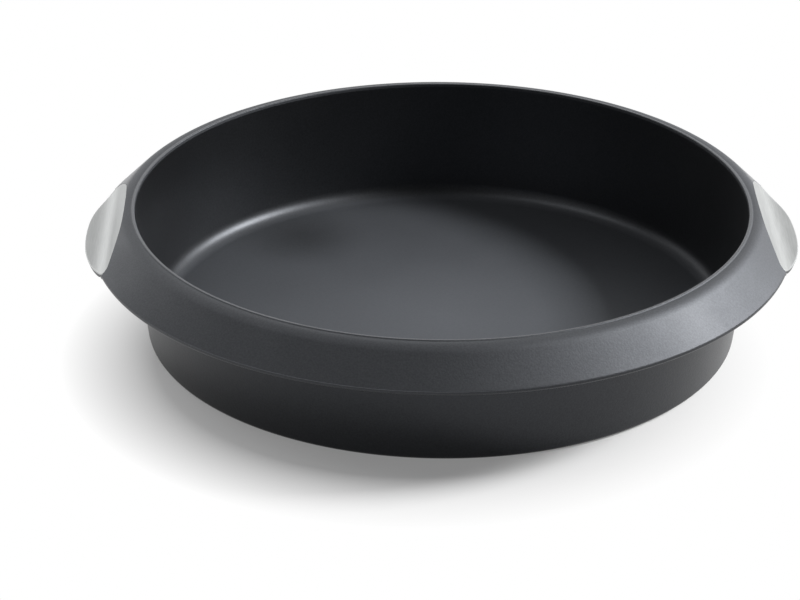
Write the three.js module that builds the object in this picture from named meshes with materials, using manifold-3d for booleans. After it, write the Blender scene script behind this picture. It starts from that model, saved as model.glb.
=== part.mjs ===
// Round silicone cake pan: a drafted pan whose rim flares into a conical skirt, stiffened by
// a steel hoop inside the rim, with a bent steel thumb plate inlaid in the skirt at each end.
// Millimetres, +Z up. The origin is the centre of the underside, and the plates lie along X.
import * as THREE from "three";
import { mergeVertices } from "three/addons/utils/BufferGeometryUtils.js";
import Module from "manifold-3d";

const wasm = await Module();
wasm.setup();

// Pan
const mouthRadius = 130; // inner edge of the lip
const panHeight = 56; // table to the top of the lip
const wallDraft = 6.6; // the inside narrows by this from the lip to the floor
const wallThickness = 2.6;
const floorThickness = 2.6;
const floorFillet = 7; // inside, between floor and wall
const baseEdgeFillet = 2; // outside, between underside and wall

// Lip: a low bead along the mouth and a round shoulder where the skirt starts
const lipWidth = 5.05; // from the mouth to the shoulder's corner, across
const beadWidth = 1.1;
const beadFlank = 0.5; // the bead's outer slope, across
const shoulderDrop = 0.35; // the shoulder lies this much lower than the bead
const beadFillet = 0.42;
const flankFillet = 0.6; // at the foot of the bead's outer slope
const shoulderFillet = 5;

// Skirt: a cone that goes out and down from the shoulder, with an upright edge
const skirtReach = 18.2; // from the mouth to the skirt's edge, across
const skirtDrop = 13.5; // from the top of the lip to the edge's upper corner
const skirtThickness = 2.6;
const skirtEdgeHeight = 2;
const skirtEdgeFillet = 0.35;
const skirtLowerFillet = 1; // the edge's lower, outer corner
const webFillet = 5; // fills the corner between wall and skirt, round the hoop

// Hoop of steel wire inside the rim
const wireRadius = 1.25;
const hoopInset = 3.55; // from the mouth to the wire's centre, across
const hoopDepth = 4.5; // from the top of the lip to the wire's centre

// Thumb plates: sheet with a leaning leg, tacked to the hoop, that bends into a level flange
const plateThickness = 0.8;
const legLean = THREE.MathUtils.degToRad(26.6); // the leg leans out from upright by this
const scoopRadius = 10; // the bend's face
const plateDrop = 15.4; // from the top of the lip to the flange's face
const plateOverhang = 3.05; // how far the plate stands out past the skirt's edge
const plateArcHalfAngle = THREE.MathUtils.degToRad(4.4); // the outer edge follows the rim this far
const backingThickness = 1.2; // silicone under the plate
const backingInset = 1.6; // the plate's bare edge, beyond the backing

const seatGap = 0.3; // between pieces that touch

// Fineness of the facets
const turnSteps = 80;
const cornerStep = THREE.MathUtils.degToRad(30);
const wireSides = 8;
const plateRows = 24;
const mergeTolerance = 1e-4;

const siliconeFinish = { name: "charcoal silicone", color: 0x3b3c3f, roughness: 0.55, metalness: 0 };
const steelFinish = { name: "satin steel", color: 0xc8cbca, roughness: 0.34, metalness: 1 };
const wireFinish = { name: "bright wire", color: 0xb4b7b8, roughness: 0.4, metalness: 1 };

// Sizes that follow from those above
const skirtRadius = mouthRadius + skirtReach;
const skirtEdgeTop = panHeight - skirtDrop;
const shoulderRadius = mouthRadius + lipWidth;
const shoulderTop = panHeight - shoulderDrop;
const floorRadius = mouthRadius - wallDraft;
const wallSlope = wallDraft / (panHeight - floorThickness); // across, for each millimetre up
const skirtSlope = (shoulderTop - skirtEdgeTop) / (skirtRadius - shoulderRadius); // down, for each across
const skirtAngle = Math.atan(skirtSlope);
const shoulderCentre = shoulderRadius - shoulderFillet * Math.tan(skirtAngle / 2); // of the shoulder's arc
const hoopRadius = mouthRadius + hoopInset;
const hoopHeight = panHeight - hoopDepth;
const plateTip = skirtRadius + plateOverhang;
const flangeHeight = panHeight - plateDrop;
const legToWire = plateThickness + seatGap + wireRadius;
const legX = (height) => hoopRadius + legToWire / Math.cos(legLean) + (hoopHeight - height) * Math.tan(legLean);
const bendTop = flangeHeight + scoopRadius * (1 - Math.sin(legLean)); // where the leg starts to bend
const bendX = legX(bendTop) + scoopRadius * Math.cos(legLean); // centre of the bend
const legLength = (panHeight - bendTop) / Math.cos(legLean);
const bendLength = scoopRadius * (Math.PI / 2 - legLean);

// A closed geometry as a solid, with its shared corners merged and its collapsed triangles left out
function solidOf(geometry) {
  geometry.deleteAttribute("normal");
  geometry.deleteAttribute("uv");
  const merged = mergeVertices(geometry, mergeTolerance);
  const index = merged.index.array;
  const kept = [];
  for (let i = 0; i < index.length; i += 3) {
    const [a, b, c] = index.subarray(i, i + 3);
    if (a !== b && b !== c && c !== a) kept.push(a, b, c);
  }
  const vertProperties = merged.attributes.position.array;
  return new wasm.Manifold(new wasm.Mesh({ numProp: 3, vertProperties, triVerts: new Uint32Array(kept) }));
}

function geometryOf(solid) {
  const { vertProperties, triVerts } = solid.getMesh();
  const geometry = new THREE.BufferGeometry();
  geometry.setAttribute("position", new THREE.BufferAttribute(vertProperties, 3));
  geometry.setIndex(new THREE.BufferAttribute(triVerts, 1));
  geometry.computeVertexNormals();
  return geometry;
}

// An open outline of corners [across, up, fillet], with each fillet drawn as an arc
function roundedOutline(corners) {
  return corners.flatMap(([across, up, fillet], i) => {
    const corner = new THREE.Vector2(across, up);
    if (!fillet) return [corner];
    const before = new THREE.Vector2(...corners[i - 1]).sub(corner).normalize();
    const after = new THREE.Vector2(...corners[i + 1]).sub(corner).normalize();
    const half = Math.acos(before.dot(after)) / 2;
    const centre = before.clone().add(after).setLength(fillet / Math.sin(half)).add(corner);
    const start = before.clone().multiplyScalar(fillet / Math.tan(half)).add(corner).sub(centre);
    const sweep = (Math.PI - 2 * half) * Math.sign(after.cross(before));
    const steps = Math.ceil(Math.abs(sweep) / cornerStep);
    return Array.from({ length: steps + 1 }, (_, k) =>
      start.clone().rotateAround(new THREE.Vector2(), (sweep * k) / steps).add(centre),
    );
  });
}

function revolved(outline) {
  return solidOf(new THREE.LatheGeometry(outline, turnSteps).rotateX(Math.PI / 2));
}

// Radii at a height of the wall's outside, of the cone through the skirt's outside, and of its underside
const wallRun = wallThickness * Math.hypot(1, wallSlope);
const skirtFall = skirtThickness * Math.hypot(1, skirtSlope);
const wallOutside = (height) => floorRadius + wallRun + (height - floorThickness) * wallSlope;
const coneOutside = (height) => shoulderRadius + (shoulderTop - height) / skirtSlope;
const skirtInside = (height) => coneOutside(height + skirtFall);

// Radius of the rim's outside at a height: the cone, and above it the shoulder's arc
function skirtOutside(height) {
  const aboveCentre = height - shoulderTop + shoulderFillet;
  if (aboveCentre < shoulderFillet * Math.cos(skirtAngle)) return coneOutside(height);
  return shoulderCentre + Math.sqrt(Math.max(shoulderFillet ** 2 - aboveCentre ** 2, 0));
}

// The pan's half section, from the middle of the underside, round the skirt, to the middle of the floor
function panSection() {
  const edgeBottom = skirtEdgeTop - skirtEdgeHeight;
  const webHeight = (skirtInside(0) - wallOutside(0)) / (wallSlope + 1 / skirtSlope);
  const beadRadius = mouthRadius + beadWidth;
  return roundedOutline([
    [0, 0, 0],
    [wallOutside(0), 0, baseEdgeFillet],
    [wallOutside(webHeight), webHeight, webFillet],
    [skirtInside(edgeBottom), edgeBottom, skirtEdgeFillet],
    [skirtRadius, edgeBottom, skirtLowerFillet],
    [skirtRadius, skirtEdgeTop, skirtEdgeFillet],
    [shoulderRadius, shoulderTop, shoulderFillet],
    [beadRadius + beadFlank, shoulderTop, flankFillet],
    [beadRadius, panHeight, beadFillet],
    [mouthRadius, panHeight, beadFillet],
    [floorRadius, floorThickness, floorFillet],
    [0, floorThickness, 0],
  ]);
}

// A point of the scoop's section at a length along it: down the leg, round the bend, then straight out
function scoopPoint(length) {
  const leg = Math.min(length, legLength);
  const turn = legLean + Math.min(Math.max(length - legLength, 0), bendLength) / scoopRadius;
  const straight = Math.max(length - legLength - bendLength, 0);
  const bendAcross = Math.cos(legLean) - Math.cos(turn);
  const bendDown = Math.sin(turn) - Math.sin(legLean);
  return {
    x: legX(panHeight) + leg * Math.sin(legLean) + scoopRadius * bendAcross + straight,
    z: panHeight - leg * Math.cos(legLean) - scoopRadius * bendDown,
    backX: -Math.cos(turn),
    backZ: -Math.sin(turn),
  };
}

// The scoop length, under a given one, where a test of its point turns from false to true, by halving
function scoopLengthWhere(passed, high) {
  let low = 0;
  while (high - low > mergeTolerance) {
    const middle = (low + high) / 2;
    if (passed(scoopPoint(middle))) high = middle;
    else low = middle;
  }
  return high;
}

const plateStart = scoopLengthWhere(({ x, z }) => skirtOutside(z) > x, legLength);
const plateEnd = scoopLengthWhere(({ x }) => x > plateTip, legLength + bendLength + plateTip);
const plateCorner = scoopPoint(scoopLengthWhere(({ z }) => z < skirtEdgeTop, legLength + bendLength));

// Half of the plate's width where its section passes x, z. Above the skirt's edge the plate ends where
// the scoop meets the rim's outside. Beyond it, end arcs run from that corner into the outer edge.
function plateHalfWidth({ x, z }) {
  if (z >= skirtEdgeTop) return Math.sqrt(Math.max(skirtOutside(z) ** 2 - x ** 2, 0));
  const corner = new THREE.Vector2(plateCorner.x, Math.sqrt(skirtRadius ** 2 - plateCorner.x ** 2));
  corner.rotateAround(new THREE.Vector2(), -plateArcHalfAngle);
  const short = plateTip - corner.x;
  const endRadius = (short ** 2 + corner.y ** 2) / (2 * short);
  const endCentre = plateTip - endRadius;
  if (x > plateTip * Math.cos(plateArcHalfAngle)) return Math.sqrt(Math.max(plateTip ** 2 - x ** 2, 0));
  const across = x - endCentre * Math.cos(plateArcHalfAngle);
  return endCentre * Math.sin(plateArcHalfAngle) + Math.sqrt(endRadius ** 2 - across ** 2);
}

// A curved slab along the scoop, lofted through one rectangle for each row. It spans the depths from
// front to back, measured behind the scoop's face, and is wider than the plate by spare on every edge.
function scoopSlab({ front, back, spare, from = plateStart, to = plateEnd }) {
  const rows = Array.from({ length: plateRows + 1 }, (_, i) => {
    const length = from + ((to - from) * (1 - Math.cos((Math.PI * i) / plateRows))) / 2;
    const point = scoopPoint(length);
    return { ...point, half: Math.max(plateHalfWidth(point) + spare, 0) };
  });
  if (spare > 0) {
    rows.unshift({ ...scoopPoint(from - spare), half: rows[0].half });
    rows.push({ ...scoopPoint(to + spare), half: rows[rows.length - 1].half });
  }
  const positions = rows.flatMap(({ x, z, backX, backZ, half }) => {
    const corner = (depth, side) => [x + backX * depth, side * half, z + backZ * depth];
    return [...corner(front, -1), ...corner(front, 1), ...corner(back, 1), ...corner(back, -1)];
  });
  const index = [0, 1, 2, 0, 2, 3];
  for (let row = 0; row < rows.length - 1; row++)
    for (let side = 0; side < 4; side++) {
      const a = row * 4 + side;
      const b = row * 4 + ((side + 1) % 4);
      index.push(a, a + 4, b, b, a + 4, b + 4);
    }
  const last = (rows.length - 1) * 4;
  index.push(last, last + 2, last + 1, last, last + 3, last + 2);
  const geometry = new THREE.BufferGeometry();
  geometry.setAttribute("position", new THREE.Float32BufferAttribute(positions, 3));
  return solidOf(geometry.setIndex(index));
}

// The open space over the scoop, through the whole width of the skirt
function scoopOpening() {
  const far = plateTip + scoopRadius;
  const top = panHeight + scoopRadius;
  const shape = new THREE.Shape();
  shape.moveTo(legX(top), top);
  shape.lineTo(legX(bendTop), bendTop);
  shape.absarc(bendX, flangeHeight + scoopRadius, scoopRadius, Math.PI + legLean, 1.5 * Math.PI, false);
  shape.lineTo(far, flangeHeight);
  shape.lineTo(far, top);
  const width = 2 * skirtRadius;
  const geometry = new THREE.ExtrudeGeometry(shape, { depth: width, bevelEnabled: false, curveSegments: plateRows });
  return solidOf(geometry.rotateX(Math.PI / 2).translate(0, width / 2, 0));
}

function hoopSolid(radius) {
  return solidOf(new THREE.TorusGeometry(hoopRadius, radius, wireSides, turnSteps).translate(0, 0, hoopHeight));
}

// The moulding: the turned pan and a backing under each plate, less the scoops, the plates' seats and the
// hoop's channel, which opens into the seats
function panSolid() {
  const seatDepth = plateThickness + seatGap;
  const backing = scoopSlab({
    front: 0,
    back: seatDepth + backingThickness,
    spare: -backingInset,
    to: plateEnd - backingInset,
  });
  const seat = scoopSlab({ front: -seatDepth, back: seatDepth, spare: seatGap });
  const opening = scoopOpening();
  let solid = revolved(panSection());
  for (const turn of [0, 180]) {
    solid = solid.add(backing.rotate([0, 0, turn]));
    solid = solid.subtract(opening.rotate([0, 0, turn]));
    solid = solid.subtract(seat.rotate([0, 0, turn]));
  }
  return solid.subtract(hoopSolid(wireRadius + seatGap));
}

function piece(name, solid, finish) {
  const mesh = new THREE.Mesh(geometryOf(solid), new THREE.MeshStandardMaterial(finish));
  mesh.name = name;
  return mesh;
}

const cakePan = new THREE.Group();
cakePan.add(piece("pan_body", panSolid(), siliconeFinish));
cakePan.add(piece("rim_hoop", hoopSolid(wireRadius), wireFinish));

const plate = scoopSlab({ front: 0, back: plateThickness, spare: 0 });
cakePan.add(piece("right_handle_plate", plate, steelFinish));
const leftPlate = piece("left_handle_plate", plate, steelFinish);
leftPlate.rotation.z = Math.PI;
cakePan.add(leftPlate);

export default cakePan;
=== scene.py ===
import math
import bmesh
import bpy
import numpy as np
from mathutils import Matrix, Vector


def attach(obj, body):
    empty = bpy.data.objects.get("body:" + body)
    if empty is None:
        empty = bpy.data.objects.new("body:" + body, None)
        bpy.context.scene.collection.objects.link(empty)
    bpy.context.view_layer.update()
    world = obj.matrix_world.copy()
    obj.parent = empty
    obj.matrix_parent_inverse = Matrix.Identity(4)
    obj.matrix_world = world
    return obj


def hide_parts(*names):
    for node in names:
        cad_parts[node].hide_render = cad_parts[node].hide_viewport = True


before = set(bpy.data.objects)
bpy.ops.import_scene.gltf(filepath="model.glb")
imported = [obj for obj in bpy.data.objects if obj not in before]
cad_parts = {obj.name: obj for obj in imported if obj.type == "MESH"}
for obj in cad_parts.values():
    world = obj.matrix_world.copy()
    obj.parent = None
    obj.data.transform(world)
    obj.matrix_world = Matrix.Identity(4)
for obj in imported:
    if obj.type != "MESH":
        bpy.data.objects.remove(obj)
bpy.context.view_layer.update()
print("frame loaded:", sorted(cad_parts))

# sizes in millimetres, as in the CAD source, except that here the shoulder is rounder,
# the backing reaches further and the plate lies closer in its seat
pan = dict(
    mouth=130.0, height=56.0, draft=6.6, wall=2.6, floor=2.6,
    floorFillet=7.0, baseFillet=2.0, web=5.0,
    lip=5.05, bead=1.1, flank=0.5, shoulderDrop=0.35,
    beadFillet=0.42, flankFillet=0.6, shoulderFillet=7.8,
    skirtReach=18.2, skirtDrop=13.5, skirt=2.6, edge=2.0, edgeFillet=0.35, edgeLower=1.0,
    partingRidge=0.06,      # moulding line round the skirt's edge
    ridgeWidth=0.1,         # its width, as a share of the edge
    slotEdge=0.12,          # soft edge of the silicone round a plate
    backingBlend=0.8,       # how softly a backing runs into the skirt's underside
    turnSteps=240, scoopSteps=130, scoopSpan=21.0, roundStep=8.0, spacing=16.0)
panRows = dict(shoulder=10, cone=10, edge=7, upright=12, seat=9, lower=8, underside=22)
plate = dict(
    sheet=0.8, lean=math.radians(26.6), radius=10.0, drop=15.4, overhang=3.05,
    arcHalf=math.radians(4.4), seat=0.06, backing=1.2, backingInset=0.6,
    edgeRound=0.39, around=260, rings=26, edgeRows=6, backRings=10)
hoop = dict(wire=1.25, inset=3.55, depth=4.5, gap=0.3)

skirtR = pan["mouth"] + pan["skirtReach"]
edgeTop = pan["height"] - pan["skirtDrop"]
edgeLow = edgeTop - pan["edge"]
shoulderR = pan["mouth"] + pan["lip"]
shoulderZ = pan["height"] - pan["shoulderDrop"]
floorR = pan["mouth"] - pan["draft"]
wallSlope = pan["draft"] / (pan["height"] - pan["floor"])
skirtSlope = (shoulderZ - edgeTop) / (skirtR - shoulderR)
skirtTilt = math.atan(skirtSlope)
shoulderC = shoulderR - pan["shoulderFillet"] * math.tan(skirtTilt / 2)
wallRun = pan["wall"] * math.hypot(1, wallSlope)
skirtFall = pan["skirt"] * math.hypot(1, skirtSlope)
plateTip = skirtR + plate["overhang"]
leanC, leanS = math.cos(plate["lean"]), math.sin(plate["lean"])
hoopClear = plate["sheet"] + hoop["gap"] + hoop["wire"]
legTop = pan["mouth"] + hoop["inset"] + (hoopClear - hoop["depth"] * leanS) / leanC
bendZ = pan["height"] - plate["drop"] + plate["radius"]
legLength = (pan["height"] - bendZ + plate["radius"] * leanS) / leanC
bendX = legTop + legLength * leanS + plate["radius"] * leanC
bendLength = plate["radius"] * (math.pi / 2 - plate["lean"])
overAll = 60.0              # a height above everything, where there is no surface
metre = 0.001               # a millimetre in metres


# radius of the wall's outside at a height: a straight line
def wallOutside(z):
    return floorR + wallRun + (z - pan["floor"]) * wallSlope


# radius of the skirt's cone at a height: a straight line
def coneRadius(z):
    return shoulderR + (shoulderZ - z) / skirtSlope


# height of the skirt's cone at a radius: the same line
def coneHeight(r):
    return shoulderZ - (r - shoulderR) * skirtSlope


# radius of the rim's outer face at a height: the shoulder's arc, then the cone
def faceRadius(z):
    up = z - shoulderZ + pan["shoulderFillet"]
    arc = shoulderC + np.sqrt(np.maximum(pan["shoulderFillet"] ** 2 - up ** 2, 0))
    return np.where(up > pan["shoulderFillet"] * math.cos(skirtTilt), arc, coneRadius(z))


# height of the rim's outer face at a radius: the same arc, then the cone
def faceHeight(r):
    across = np.clip(r - shoulderC, 0, pan["shoulderFillet"])
    arc = shoulderZ - pan["shoulderFillet"] + np.sqrt(pan["shoulderFillet"] ** 2 - across ** 2)
    return np.where(across < pan["shoulderFillet"] * math.sin(skirtTilt), arc, coneHeight(r))


# height of the scoop's face, moved back by depth, at a distance x:
# the leg's line, the bend's circle, then level
def scoopHeight(x, depth=0.0):
    radius = plate["radius"] + depth
    onLeg = pan["height"] - (x - legTop + depth / leanC) * leanC / leanS
    onBend = bendZ - np.sqrt(np.maximum(radius ** 2 - np.minimum(x - bendX, 0) ** 2, 0))
    return np.where(x < bendX - radius * leanC, onLeg, onBend)


# point of the scoop's face at a length down it, moved back by depth:
# along the leg, round the bend, then straight out
def scoopPoint(length, depth=0.0):
    leg = np.minimum(length, legLength)
    turn = plate["lean"] + np.clip(length - legLength, 0, bendLength) / plate["radius"]
    out = np.maximum(length - legLength - bendLength, 0)
    bendOut = plate["radius"] * (leanC - np.cos(turn))
    bendDown = plate["radius"] * (np.sin(turn) - leanS)
    x = legTop + leg * leanS + bendOut + out - depth * np.cos(turn)
    z = pan["height"] - leg * leanC - bendDown - depth * np.sin(turn)
    return x, z


# outline through corners (across, up, fillet), each fillet a true arc cut into equal turns
def roundedLine(corners):
    points = []
    for i, (r, z, fillet) in enumerate(corners):
        corner = np.array([r, z])
        if fillet == 0:
            points.append(corner[None])
            continue
        before = np.array(corners[i - 1][:2]) - corner
        after = np.array(corners[i + 1][:2]) - corner
        before, after = before / np.hypot(*before), after / np.hypot(*after)
        half = math.acos(np.clip(before @ after, -1, 1)) / 2
        middle = (before + after) / np.hypot(*(before + after))
        centre = corner + middle * fillet / math.sin(half)
        first = corner + before * fillet / math.tan(half) - centre
        turn = (math.pi - 2 * half) * np.sign(after[0] * before[1] - after[1] * before[0])
        steps = max(2, math.ceil(math.degrees(abs(turn)) / pan["roundStep"]))
        angle = np.linspace(0, turn, steps + 1)
        c, s = np.cos(angle), np.sin(angle)
        arc = np.stack([c * first[0] - s * first[1], s * first[0] + c * first[1]], -1)
        points.append(centre + arc)
    return np.concatenate(points)


# a line's straight runs get points in between, no further apart than step
def subdivided(line, step):
    gaps = np.hypot(*np.diff(line, axis=0).T)
    parts = [np.linspace(a, b, max(1, math.ceil(gap / step)), endpoint=False)
             for a, b, gap in zip(line, line[1:], gaps)]
    return np.concatenate(parts + [line[-1:]])


# mesh from a grid of points in millimetres: columns close on themselves,
# and rows that shrink to a point become poles
def gridObject(name, grid):
    rows, cols = grid.shape[:2]
    index = np.arange(rows * cols).reshape(rows, cols)
    index = np.concatenate([index, index[:, :1]], axis=1)
    corners = [index[:-1, :-1], index[:-1, 1:], index[1:, 1:], index[1:, :-1]]
    mesh = bpy.data.meshes.new(name)
    points = grid.reshape(-1, 3) * metre
    mesh.from_pydata(points.tolist(), [], np.stack(corners, -1).reshape(-1, 4).tolist())
    shell = bmesh.new()
    shell.from_mesh(mesh)
    bmesh.ops.remove_doubles(shell, verts=shell.verts, dist=2e-6)
    bmesh.ops.dissolve_degenerate(shell, edges=shell.edges, dist=1e-7)
    bmesh.ops.recalc_face_normals(shell, faces=shell.faces)
    shell.to_mesh(mesh)
    shell.free()
    mesh.polygons.foreach_set("use_smooth", np.ones(len(mesh.polygons), bool))
    made = bpy.data.objects.new(name, mesh)
    bpy.context.scene.collection.objects.link(made)
    weighted = made.modifiers.new("faceWeights", "WEIGHTED_NORMAL")
    weighted.keep_sharp = True
    return made


# azimuths of the turned surface: even all round, with finer steps across the two scoops
def turnAngles():
    span = math.radians(pan["scoopSpan"])
    fine = np.linspace(-span, span, pan["scoopSteps"], endpoint=False)
    coarse = np.linspace(span, math.pi - span, pan["turnSteps"] // 2, endpoint=False)
    return np.concatenate([fine, coarse, fine + math.pi, coarse + math.pi])


# half of the plate's width at x, z: on the rim's face above the skirt's edge,
# then an end arc, then the outer arc round the pan's axis
def plateHalf(x, z):
    cornerX = bendX - math.sqrt(plate["radius"] ** 2 - (bendZ - edgeTop) ** 2)
    cornerY = math.sqrt(skirtR ** 2 - cornerX ** 2)
    c, s = math.cos(plate["arcHalf"]), math.sin(plate["arcHalf"])
    short = plateTip - (c * cornerX + s * cornerY)
    side = c * cornerY - s * cornerX
    endR = (short ** 2 + side ** 2) / (2 * short)
    endC = plateTip - endR
    onFace = np.sqrt(np.maximum(faceRadius(z) ** 2 - x ** 2, 0))
    onEnd = endC * s + np.sqrt(np.maximum(endR ** 2 - (x - endC * c) ** 2, 0))
    onTip = np.sqrt(np.maximum(plateTip ** 2 - x ** 2, 0))
    return np.where(z >= edgeTop, onFace, np.where(x > plateTip * c, onTip, onEnd))


# plan radius of the plate's outer edge at an azimuth: its outline in polar form, off dense points
def plateReach(angle):
    x = np.linspace(legTop, plateTip, 4000)
    y = plateHalf(x, scoopHeight(x))
    outer = scoopHeight(x) < edgeTop
    turn, reach = np.arctan2(y[outer], x[outer]), np.hypot(x[outer], y[outer])
    return np.interp(np.abs(angle), turn[::-1], reach[::-1])


# the moulding as one turned grid whose section changes with azimuth: inside, lip, wall and base
# are fixed, and the two scoops cut the skirt between them down to the plates' seats
def panGrid():
    angle = turnAngles()
    off = np.abs((angle + math.pi / 2) % math.pi - math.pi / 2)     # from the nearer plate's middle
    webZ = (coneRadius(skirtFall) - wallOutside(0)) / (wallSlope + 1 / skirtSlope)
    beadR = pan["mouth"] + pan["bead"]
    inside = roundedLine([
        (0, pan["floor"], 0), (floorR, pan["floor"], pan["floorFillet"]),
        (pan["mouth"], pan["height"], pan["beadFillet"]),
        (beadR, pan["height"], pan["beadFillet"]),
        (beadR + pan["flank"], shoulderZ, pan["flankFillet"]), (shoulderC, shoulderZ, 0)])
    outside = roundedLine([
        (coneRadius(edgeLow + skirtFall), edgeLow, 0), (wallOutside(webZ), webZ, pan["web"]),
        (wallOutside(0), 0, pan["baseFillet"]), (0, 0, 0)])[1:]
    inside, outside = subdivided(inside, pan["spacing"]), subdivided(outside, pan["spacing"])

    # where the scoop comes out of the rim's face, at each azimuth
    r = np.linspace(shoulderC, skirtR, 3000)
    cut = faceHeight(r)[None] > scoopHeight(r[None] * np.cos(off)[:, None])
    inScoop = cut.any(1)
    slot = np.where(inScoop, r[cut.argmax(1)], skirtR)

    # how far out the silicone goes past that line, under the plate
    seat = plate["sheet"] + plate["seat"]
    backingEnd = plateReach(off) - plate["backingInset"]
    far = np.linspace(shoulderC, plateTip, 2400)
    farX = far[None] * np.cos(off)[:, None]
    backing = scoopHeight(farX, seat + plate["backing"])
    backing = np.where(far[None] < backingEnd[:, None], backing, overAll)
    skirtLow = np.where(far <= skirtR, np.maximum(coneHeight(far) - skirtFall, edgeLow), overAll)
    solid = scoopHeight(farX, seat) > np.minimum(skirtLow[None], backing) + 0.02
    solid &= inScoop[:, None]
    last = far[solid.shape[1] - 1 - solid[:, ::-1].argmax(1)]
    reach = np.where(inScoop & solid.any(1), np.maximum(last, slot), skirtR)

    # height of the underside at a radius: the lower of skirt and backing, smoothly blended
    def underside(rr):
        line = np.maximum(coneHeight(rr) - skirtFall, edgeLow)
        line = np.where(rr <= skirtR + 1e-6, line, overAll)
        grown = scoopHeight(rr * np.cos(off), seat + plate["backing"])
        pad = np.where(inScoop & (rr <= backingEnd + 0.02), grown, overAll)
        soft = pan["backingBlend"]
        blend = np.clip(0.5 + (line - pad) / (2 * soft), 0, 1)
        return line * (1 - blend) + pad * blend - soft * blend * (1 - blend)

    rows = []

    # one row of the section: a radius and a height for each azimuth
    def addRow(across, up):
        rows.append(np.stack([np.broadcast_to(across, off.shape), np.broadcast_to(up, off.shape)], -1))

    for across, up in inside:
        addRow(across, up)
    soften = np.where(inScoop, pan["slotEdge"], pan["edgeFillet"])
    tangent = soften * math.tan((math.pi / 2 - skirtTilt) / 2)
    arcTurn = np.linspace(0, skirtTilt, panRows["shoulder"])[1:]
    arcShare = pan["shoulderFillet"] * np.sin(arcTurn) / (skirtR - shoulderC)
    coneShare = np.linspace(arcShare[-1], 1, panRows["cone"])[1:]
    for t in np.concatenate([arcShare, coneShare]):                     # shoulder and cone
        rr = shoulderC + (slot - tangent * math.cos(skirtTilt) - shoulderC) * t
        addRow(rr, faceHeight(rr))
    for a in np.linspace(math.pi / 2 - skirtTilt, 0, panRows["edge"])[1:]:      # the rounded edge
        down = tangent - soften * math.sin(a)
        addRow(slot - soften * (1 - math.cos(a)), faceHeight(slot) - down)
    seatTop = scoopHeight(slot * np.cos(off), seat)
    foot = np.where(inScoop, seatTop, edgeLow + pan["edgeLower"])
    start = rows[-1][:, 1]
    for t in np.linspace(0, 1, panRows["upright"])[1:]:         # the upright edge, with its moulding line
        ridge = pan["partingRidge"] * np.exp(-((t - 0.5) / pan["ridgeWidth"]) ** 2)
        addRow(slot + np.where(inScoop, 0, ridge), start + (foot - start) * t)
    for t in np.linspace(0, 1, panRows["seat"])[1:]:            # the plate's seat
        rr = slot + (reach - slot) * t
        addRow(rr, np.where(inScoop, scoopHeight(rr * np.cos(off), seat), foot))
    lower = np.where(inScoop, 0.0, pan["edgeLower"])
    for a in np.linspace(0, math.pi / 2, panRows["lower"])[1:]:         # the lower edge
        up = np.where(inScoop, underside(reach), foot - lower * math.sin(a))
        addRow(reach - lower * (1 - math.cos(a)), up)
    begin = rows[-1][:, 0]
    for t in np.linspace(0, 1, panRows["underside"])[1:]:       # the underside, in to the web
        rr = begin + (outside[0, 0] - begin) * t
        addRow(rr, underside(rr))
    for across, up in outside[1:]:                              # web, wall and base
        addRow(across, np.minimum(up, underside(np.full_like(off, across))) if up > edgeLow else up)
    section = np.stack(rows)
    x, y = section[..., 0] * np.cos(angle), section[..., 0] * np.sin(angle)
    return np.stack([x, y, section[..., 1]], -1)


# a plate: rings scaled about the middle of its flat outline, rolled over its edge to the back,
# then bent to the scoop
def plateGrid(side):
    ends = np.linspace(0, legLength + bendLength + plate["radius"], 20001)
    x, z = scoopPoint(ends)
    shown = ((faceRadius(z) > x) | (z < edgeTop)) & (x < plateTip)
    lengths, half = ends[shown], plateHalf(x[shown], z[shown])
    outline = np.concatenate([np.stack([half, lengths], -1), np.stack([-half, lengths], -1)[::-1]])
    closed = np.concatenate([outline, outline[:1]])
    run = np.concatenate([[0], np.cumsum(np.hypot(*np.diff(closed, axis=0).T))])
    even = np.linspace(0, run[-1], plate["around"], endpoint=False)
    edge = np.stack([np.interp(even, run, closed[:, k]) for k in range(2)], -1)
    along = np.roll(edge, -1, 0) - np.roll(edge, 1, 0)
    normal = np.stack([along[:, 1], -along[:, 0]], -1) / np.hypot(*along.T)[:, None]
    middle = np.array([0.0, (lengths[0] + lengths[-1]) / 2])
    normal = normal * np.sign(((edge - middle) * normal).sum(1, keepdims=True))
    radius, sheet = plate["edgeRound"], plate["sheet"]
    inner = edge - normal * radius
    shares = np.linspace(0, 1, plate["rings"]) ** 0.7
    rings = [(middle + (inner - middle) * t, 0.0) for t in shares]
    turns = np.linspace(0, math.pi / 2, plate["edgeRows"])
    rings += [(inner + normal * radius * math.sin(a), radius * (1 - math.cos(a))) for a in turns[1:]]
    rings += [(inner + normal * radius * math.cos(a), sheet - radius * (1 - math.sin(a))) for a in turns]
    backShares = np.linspace(1, 0, plate["backRings"])[1:]
    rings += [(middle + (inner - middle) * t, sheet) for t in backShares]
    flat = np.stack([np.concatenate([p, np.full((len(p), 1), d)], -1) for p, d in rings])
    x, z = scoopPoint(flat[..., 1], flat[..., 2])
    return np.stack([side * x, side * flat[..., 0], z], -1)


# a piece from its grid: it rides on the one body and stands for its CAD node
def addPiece(name, grid, material, node):
    made = gridObject(name, grid)
    made.data.materials.append(material)
    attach(made, "root")
    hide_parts(node)
    print("piece", name, len(made.data.polygons), "faces")


# a number or colour is set on a socket, another node's output is linked to it
def fill(tree, socket, value):
    if isinstance(value, bpy.types.NodeSocket):
        tree.links.new(value, socket)
    else:
        socket.default_value = value


# a node whose named values are its inputs or else its settings
def addNode(tree, kind, **values):
    made = tree.nodes.new(kind)
    for name, value in values.items():
        if name in made.inputs:
            fill(tree, made.inputs[name], value)
        else:
            setattr(made, name, value)
    return made


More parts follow.
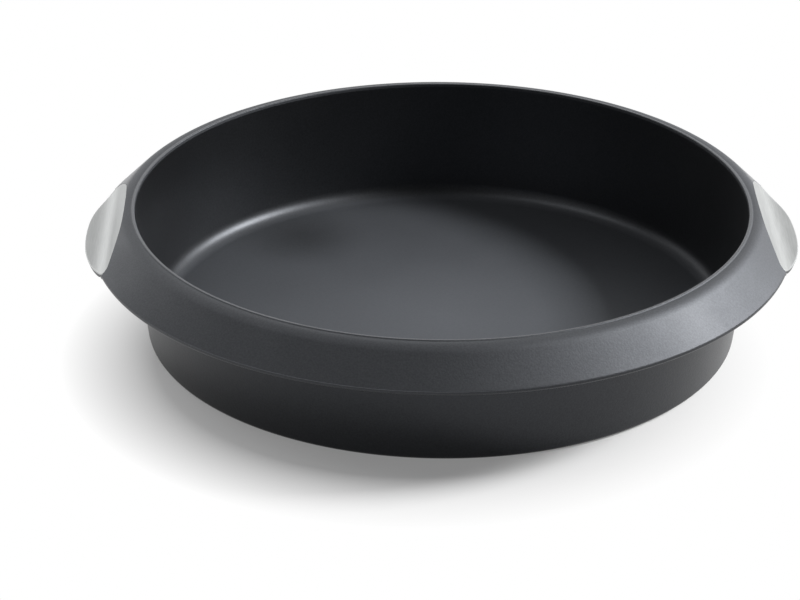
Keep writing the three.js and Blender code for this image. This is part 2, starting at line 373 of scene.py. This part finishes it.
# one number out of two: a product, a difference, the greater or a comparison
def addMath(tree, operation, first, second):
    made = addNode(tree, "ShaderNodeMath", operation=operation)
    fill(tree, made.inputs[0], first)
    fill(tree, made.inputs[1], second)
    return made.outputs[0]


# one number from first at share 0 to second at share 1
def addMix(tree, share, first, second):
    made = addNode(tree, "ShaderNodeMix", data_type="FLOAT")
    for socket, value in zip((made.inputs[0], *made.inputs[2:4]), (share, first, second)):
        fill(tree, socket, value)
    return made.outputs[0]


# one value mapped from one span to another and held at its ends
def addRange(tree, source, fromSpan, toSpan, smooth=False):
    kind = "SMOOTHSTEP" if smooth else "LINEAR"
    made = addNode(tree, "ShaderNodeMapRange", interpolation_type=kind, Value=source)
    for key, value in zip(("From Min", "From Max", "To Min", "To Max"), (*fromSpan, *toSpan)):
        made.inputs[key].default_value = value
    return made.outputs["Result"]


# distance of the surface from a point
def addDistance(tree, place, point):
    made = addNode(tree, "ShaderNodeVectorMath", operation="DISTANCE")
    fill(tree, made.inputs[0], place)
    fill(tree, made.inputs[1], point)
    return made.outputs["Value"]


# a new material with its node tree and its shader
def newMaterial(name):
    made = bpy.data.materials.new(name)
    made.use_nodes = True
    return made, made.node_tree, made.node_tree.nodes["Principled BSDF"]


# finish of the moulding: sandblasted outside, smooth inside, matt floor; the tones hold painted light and
# shade: inside walls darker than outside, a floor palest in the middle and darker toward the wall, and a
# dark patch on it
silicone = dict(
    tint=(0.92, 0.985, 1.1), shine=(0.88, 0.92, 1.0, 1), ior=1.7,
    # inner tone darker than the outer: painted shade on the pan's inside walls
    outerTone=0.009, innerShadedTone=0.003, floorTone=0.081,
    skirtRough=0.62, lipRough=0.36, wallRough=0.33, innerRough=0.38, filletRough=0.45, floorRough=0.66,
    gloss=0.9, wallGloss=0.28, innerGloss=0.55, floorGloss=0.5,
    skinIor=1.04, skinRough=0.2,                                        # grazing sheen on the skirt
    middle=1.15, margin=0.6, paintedFalloffReach=0.118,                           # floor's tone, centre to edge: painted light in the middle, painted shade toward the wall
    shadeSpotCentre=(-0.063, 0.080, 0.0026), shadeSpotReach=0.036, shadeSpotTone=0.38,     # painted shade: a dark round patch on the floor
    floorEnd=(0.0027, 0.0046), filletEnd=(0.007, 0.016), beadTop=(0.05588, 0.05598),
    noiseSpan=(0.3, 0.7), cloud=38.0, cloudSpread=(0.96, 1.04),
    grain=1300.0, grainDepth=0.00005, grainSpread=(0.88, 1.12), outerGrain=1.0, innerGrain=0.2)


# moulded silicone: inside or outside from the radius against the middle of the wall, floor and lip
# from the height; a cloud varies tone and roughness, a fine grain varies bump and gloss
def siliconeMaterial():
    made, tree, shader = newMaterial("charcoalSilicone")
    place = addNode(tree, "ShaderNodeTexCoord").outputs["Object"]
    height = addNode(tree, "ShaderNodeSeparateXYZ", Vector=place).outputs["Z"]
    flat = addNode(tree, "ShaderNodeVectorMath", operation="MULTIPLY")
    fill(tree, flat.inputs[0], place)
    fill(tree, flat.inputs[1], (1, 1, 0))
    radius = addNode(tree, "ShaderNodeVectorMath", operation="LENGTH")
    fill(tree, radius.inputs[0], flat.outputs[0])
    radius = radius.outputs["Value"]
    cloud = addNode(tree, "ShaderNodeTexNoise",
                    Vector=place, Scale=silicone["cloud"], Detail=5.0, Roughness=0.6).outputs["Fac"]
    spread = addRange(tree, cloud, silicone["noiseSpan"], silicone["cloudSpread"])
    grain = addNode(tree, "ShaderNodeTexNoise",
                    Vector=place, Scale=silicone["grain"], Detail=3.0, Roughness=0.5).outputs["Fac"]
    speck = addRange(tree, grain, silicone["noiseSpan"], silicone["grainSpread"])

    # zones: radius with the wall's slope taken off, against the wall's middle and outside
    leaned = addMath(tree, "SUBTRACT", radius, addMath(tree, "MULTIPLY", height, wallSlope))
    wallIn = floorR - pan["floor"] * wallSlope
    belowLip = addMath(tree, "LESS_THAN", height, (shoulderZ - 1) * metre)
    aboveBase = addMath(tree, "GREATER_THAN", height, pan["floor"] / 2 * metre)
    inside = addMath(tree, "LESS_THAN", leaned, (wallIn + wallRun / 2) * metre)
    inside = addMath(tree, "MULTIPLY", addMath(tree, "MULTIPLY", inside, aboveBase), belowLip)
    level = addRange(tree, height, silicone["floorEnd"], (1, 0), True)
    onFloor = addMath(tree, "MULTIPLY", inside, level)
    onWall = addMath(tree, "LESS_THAN", leaned, (wallIn + wallRun + 1) * metre)
    onEdge = addMath(tree, "LESS_THAN", height, (edgeTop - 0.4) * metre)        # edge and below
    onWall = addMath(tree, "MAXIMUM", addMath(tree, "MULTIPLY", onWall, belowLip), onEdge)
    onSkirt = addMath(tree, "SUBTRACT", belowLip, addMath(tree, "MAXIMUM", inside, onWall))

    # tone, with painted light and shade: darker inside walls, a floor palest in the middle, a dark patch on
    # the floor
    # painted light and shade: the floor's tone is palest in the middle and darker toward the wall
    paintedFalloff = addRange(tree, radius, (0.0, silicone["paintedFalloffReach"]), (silicone["middle"], silicone["margin"]))
    # painted shade: the floor's tone darkens round a point, where no dent is modelled
    paintedShadeSpot = addRange(tree, addDistance(tree, place, silicone["shadeSpotCentre"]),
                    (0, silicone["shadeSpotReach"]), (silicone["shadeSpotTone"], 1), True)
    floorTone = addMath(tree, "MULTIPLY", addMath(tree, "MULTIPLY", paintedFalloff, paintedShadeSpot), silicone["floorTone"])
    # painted shade: the inside walls take a darker tone than the outside of the same silicone
    tone = addMix(tree, inside, silicone["outerTone"], silicone["innerShadedTone"])
    tone = addMath(tree, "MULTIPLY", addMix(tree, onFloor, tone, floorTone), spread)
    colour = addNode(tree, "ShaderNodeVectorMath", operation="SCALE", Scale=tone)
    fill(tree, colour.inputs[0], silicone["tint"])
    fill(tree, shader.inputs["Base Color"], colour.outputs[0])

    # roughness: bead's top, skirt, outer wall, then inside and floor
    lipSpan, bendSpan = ("skirtRough", "lipRough"), ("filletRough", "innerRough")
    rough = addRange(tree, height, silicone["beadTop"], [silicone[key] for key in lipSpan], True)
    rough = addMix(tree, onWall, rough, silicone["wallRough"])
    bent = addRange(tree, height, silicone["filletEnd"], [silicone[key] for key in bendSpan], True)
    rough = addMix(tree, inside, rough, bent)
    rough = addMix(tree, onFloor, rough, silicone["floorRough"])
    fill(tree, shader.inputs["Roughness"], addMath(tree, "MULTIPLY", rough, spread))

    # gloss, grain and the skirt's sheen
    gloss = addMix(tree, onWall, silicone["gloss"], silicone["wallGloss"])
    gloss = addMix(tree, inside, gloss, silicone["innerGloss"])
    gloss = addMix(tree, onFloor, gloss, silicone["floorGloss"])
    fill(tree, shader.inputs["Specular IOR Level"], addMath(tree, "MULTIPLY", gloss, speck))
    strength = addMix(tree, inside, silicone["outerGrain"], silicone["innerGrain"])
    bump = addNode(tree, "ShaderNodeBump", Distance=silicone["grainDepth"], Strength=strength, Height=grain)
    fill(tree, shader.inputs["Normal"], bump.outputs["Normal"])
    fill(tree, shader.inputs["IOR"], silicone["ior"])
    fill(tree, shader.inputs["Specular Tint"], silicone["shine"])
    fill(tree, shader.inputs["Coat Weight"], onSkirt)
    fill(tree, shader.inputs["Coat IOR"], silicone["skinIor"])
    fill(tree, shader.inputs["Coat Roughness"], silicone["skinRough"])
    return made


steel = dict(
    dark=(0.43, 0.44, 0.438, 1), pale=(0.54, 0.55, 0.548, 1), darkEnd=0.3, paleEnd=0.75,
    rough=(0.42, 0.52), bump=0.08, bumpDepth=0.00002,
    plateStretch=(2200.0, 90.0, 2200.0), wireStretch=(900.0, 900.0, 2600.0))


# satin steel: streaks from a stretched noise drive colour, roughness and a faint bump
def steelMaterial(name, stretch):
    made, tree, shader = newMaterial(name)
    place = addNode(tree, "ShaderNodeTexCoord").outputs["Object"]
    drawn = addNode(tree, "ShaderNodeMapping", Vector=place, Scale=stretch).outputs["Vector"]
    streak = addNode(tree, "ShaderNodeTexNoise",
                     Vector=drawn, Scale=1.0, Detail=4.0, Roughness=0.6).outputs["Fac"]
    tint = addNode(tree, "ShaderNodeValToRGB", Fac=streak)
    low, high = tint.color_ramp.elements
    low.position, low.color = steel["darkEnd"], steel["dark"]
    high.position, high.color = steel["paleEnd"], steel["pale"]
    bump = addNode(tree, "ShaderNodeBump",
                   Strength=steel["bump"], Distance=steel["bumpDepth"], Height=streak)
    fill(tree, shader.inputs["Base Color"], tint.outputs["Color"])
    fill(tree, shader.inputs["Roughness"], addRange(tree, streak, (0, 1), steel["rough"]))
    fill(tree, shader.inputs["Normal"], bump.outputs["Normal"])
    fill(tree, shader.inputs["Metallic"], 1.0)
    return made


addPiece("siliconePan", panGrid(), siliconeMaterial(), "pan_body")
satin = steelMaterial("satinSteel", steel["plateStretch"])
addPiece("rightThumbPlate", plateGrid(1), satin, "right_handle_plate")
addPiece("leftThumbPlate", plateGrid(-1), satin, "left_handle_plate")
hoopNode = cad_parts["rim_hoop"]
hoopNode.data.materials.clear()
hoopNode.data.materials.append(steelMaterial("drawnWire", steel["wireStretch"]))
print("hoop finished")

# floor in metres: lift is the white share beside the pan, which grows to 1 between near and far
stage = dict(
    size=8.0, hole=0.122, level=-0.0002, sides=64, tone=0.86,
    centre=(-0.0115, -0.0296, 0), near=0.1095, far=0.1495, lift=0.2)


# first shader at share 0, second at share 1
def addShaderMix(tree, share, first, second):
    made = addNode(tree, "ShaderNodeMixShader")
    for socket, value in zip(made.inputs, (share, first, second)):
        fill(tree, socket, value)
    return made.outputs[0]


# floor: a flat ring that takes the pan's shadow, and away from the pan turns to even white for
# the camera and reflections; open under the pan and clear from below, to show the underside
def addFloor():
    mesh = bpy.data.meshes.new("studioFloor")
    count = stage["sides"]
    turn = np.linspace(0, 2 * math.pi, count, endpoint=False)
    ring = np.stack([np.cos(turn), np.sin(turn), np.zeros(count)], -1)
    points = np.concatenate([ring * stage["hole"], ring * stage["size"]]) + (0, 0, stage["level"])
    first = np.arange(count)
    after = np.roll(first, -1)
    quads = np.stack([first, first + count, after + count, after], -1)
    mesh.from_pydata(points.tolist(), [], quads.tolist())
    made = bpy.data.objects.new("studioFloor", mesh)
    bpy.context.scene.collection.objects.link(made)
    material, tree, shader = newMaterial("paleFloor")
    fill(tree, shader.inputs["Base Color"], (stage["tone"], stage["tone"], stage["tone"], 1))
    fill(tree, shader.inputs["Roughness"], 1.0)
    fill(tree, shader.inputs["Specular IOR Level"], 0.0)
    path = addNode(tree, "ShaderNodeLightPath").outputs
    seen = addMath(tree, "MAXIMUM", path["Is Camera Ray"], path["Is Glossy Ray"])
    seen = addMath(tree, "MAXIMUM", seen, path["Is Transmission Ray"])
    place = addNode(tree, "ShaderNodeTexCoord").outputs["Object"]
    apart = addDistance(tree, place, stage["centre"])
    away = addRange(tree, apart, (stage["near"], stage["far"]), (stage["lift"], 1))
    white = addNode(tree, "ShaderNodeEmission").outputs[0]
    lit = addShaderMix(tree, addMath(tree, "MULTIPLY", away, seen), shader.outputs[0], white)
    below = addNode(tree, "ShaderNodeNewGeometry").outputs["Backfacing"]
    clear = addNode(tree, "ShaderNodeBsdfTransparent").outputs[0]
    shown = addShaderMix(tree, below, lit, clear)
    tree.links.new(shown, tree.nodes["Material Output"].inputs["Surface"])
    mesh.materials.append(material)


addFloor()
print("floor laid")

view = dict(
    lens=144.0, sensor=36.0, pitch=26.163, roll=0.154, turn=-1.0,
    aim=(-0.017557, 0.0, 0.008934), distance=1.37803)


# camera: looks down by pitch at the aim point from the front, turned about the upright axis by turn
def addCamera():
    pitch, roll = math.radians(view["pitch"]), math.radians(view["roll"])
    ahead = Vector((0, math.cos(pitch), -math.sin(pitch)))
    level, upright = Vector((1, 0, 0)), Vector((0, math.sin(pitch), math.cos(pitch)))
    right = math.cos(roll) * level + math.sin(roll) * upright
    upward = math.cos(roll) * upright - math.sin(roll) * level
    pose = Matrix((right, upward, -ahead)).transposed().to_4x4()
    pose.translation = Vector(view["aim"]) - view["distance"] * ahead
    data = bpy.data.cameras.new("photoCamera")
    data.sensor_width, data.lens = view["sensor"], view["lens"]
    data.clip_start, data.clip_end = 0.05, 50.0
    made = bpy.data.objects.new("photoCamera", data)
    bpy.context.scene.collection.objects.link(made)
    made.matrix_world = Matrix.Rotation(math.radians(view["turn"]), 4, "Z") @ pose
    bpy.context.scene.camera = made


addCamera()
print("camera placed")

# soft boxes by azimuth and height angle in degrees, size in metres and radiance
lampDistance = 2.0
lamps = dict(
    key=dict(azimuth=6.5, height=36.5, size=(0.50, 0.40), radiance=67.5),
    rightSoft=dict(azimuth=20, height=33, size=(1.05, 0.8), radiance=1.0),
    topRight=dict(azimuth=0, height=60, size=(1.05, 0.8), radiance=0.5),
    topLeft=dict(azimuth=180, height=60, size=(1.05, 0.8), radiance=1.8),
    topFront=dict(azimuth=310, height=60, size=(1.05, 0.8), radiance=0.15),
    backLeft=dict(azimuth=140, height=20, size=(1.4, 0.8), radiance=1.1),
    frontLeft=dict(azimuth=220, height=33, size=(1.2, 0.8), radiance=0.4))


# a lamp on a sphere round the pan, facing it; its power is pi times area times radiance
def addLamp(name, values):
    data = bpy.data.lights.new(name, "AREA")
    wide, high = values["size"]
    data.shape, data.size, data.size_y = "RECTANGLE", wide, high
    data.energy = math.pi * wide * high * values["radiance"]
    made = bpy.data.objects.new(name, data)
    bpy.context.scene.collection.objects.link(made)
    turn, rise = math.radians(values["azimuth"]), math.radians(values["height"])
    toward = Vector((math.cos(turn) * math.cos(rise), math.sin(turn) * math.cos(rise), math.sin(rise)))
    made.location = lampDistance * toward
    made.rotation_euler = (-toward).to_track_quat("-Z", "Y").to_euler()
    made.visible_camera = False


for name, values in lamps.items():
    addLamp(name, values)
print("lamps:", len(lamps))

studio = dict(back=1.3, front=0.06, above=0.08, backSpan=(0.1, 0.9), aboveSpan=(0.48, 0.8))


# world: a white wall behind that fades upward and to a dim room in front
def addWorld():
    world = bpy.data.worlds.new("studioWorld")
    bpy.context.scene.world = world
    world.use_nodes = True
    tree = world.node_tree
    place = addNode(tree, "ShaderNodeTexCoord").outputs["Generated"]
    toward = addNode(tree, "ShaderNodeSeparateXYZ", Vector=place).outputs
    behind = addRange(tree, toward["Y"], studio["backSpan"], (studio["front"], studio["back"]), True)
    upward = addRange(tree, toward["Z"], studio["aboveSpan"], (1, studio["above"]), True)
    ground = tree.nodes["Background"]
    fill(tree, ground.inputs["Color"], (1, 1, 1, 1))
    fill(tree, ground.inputs["Strength"], addMath(tree, "MULTIPLY", behind, upward))


addWorld()
print("world lit")
bpy.context.scene.view_settings.view_transform = "Standard"

bpy.context.view_layer.update()
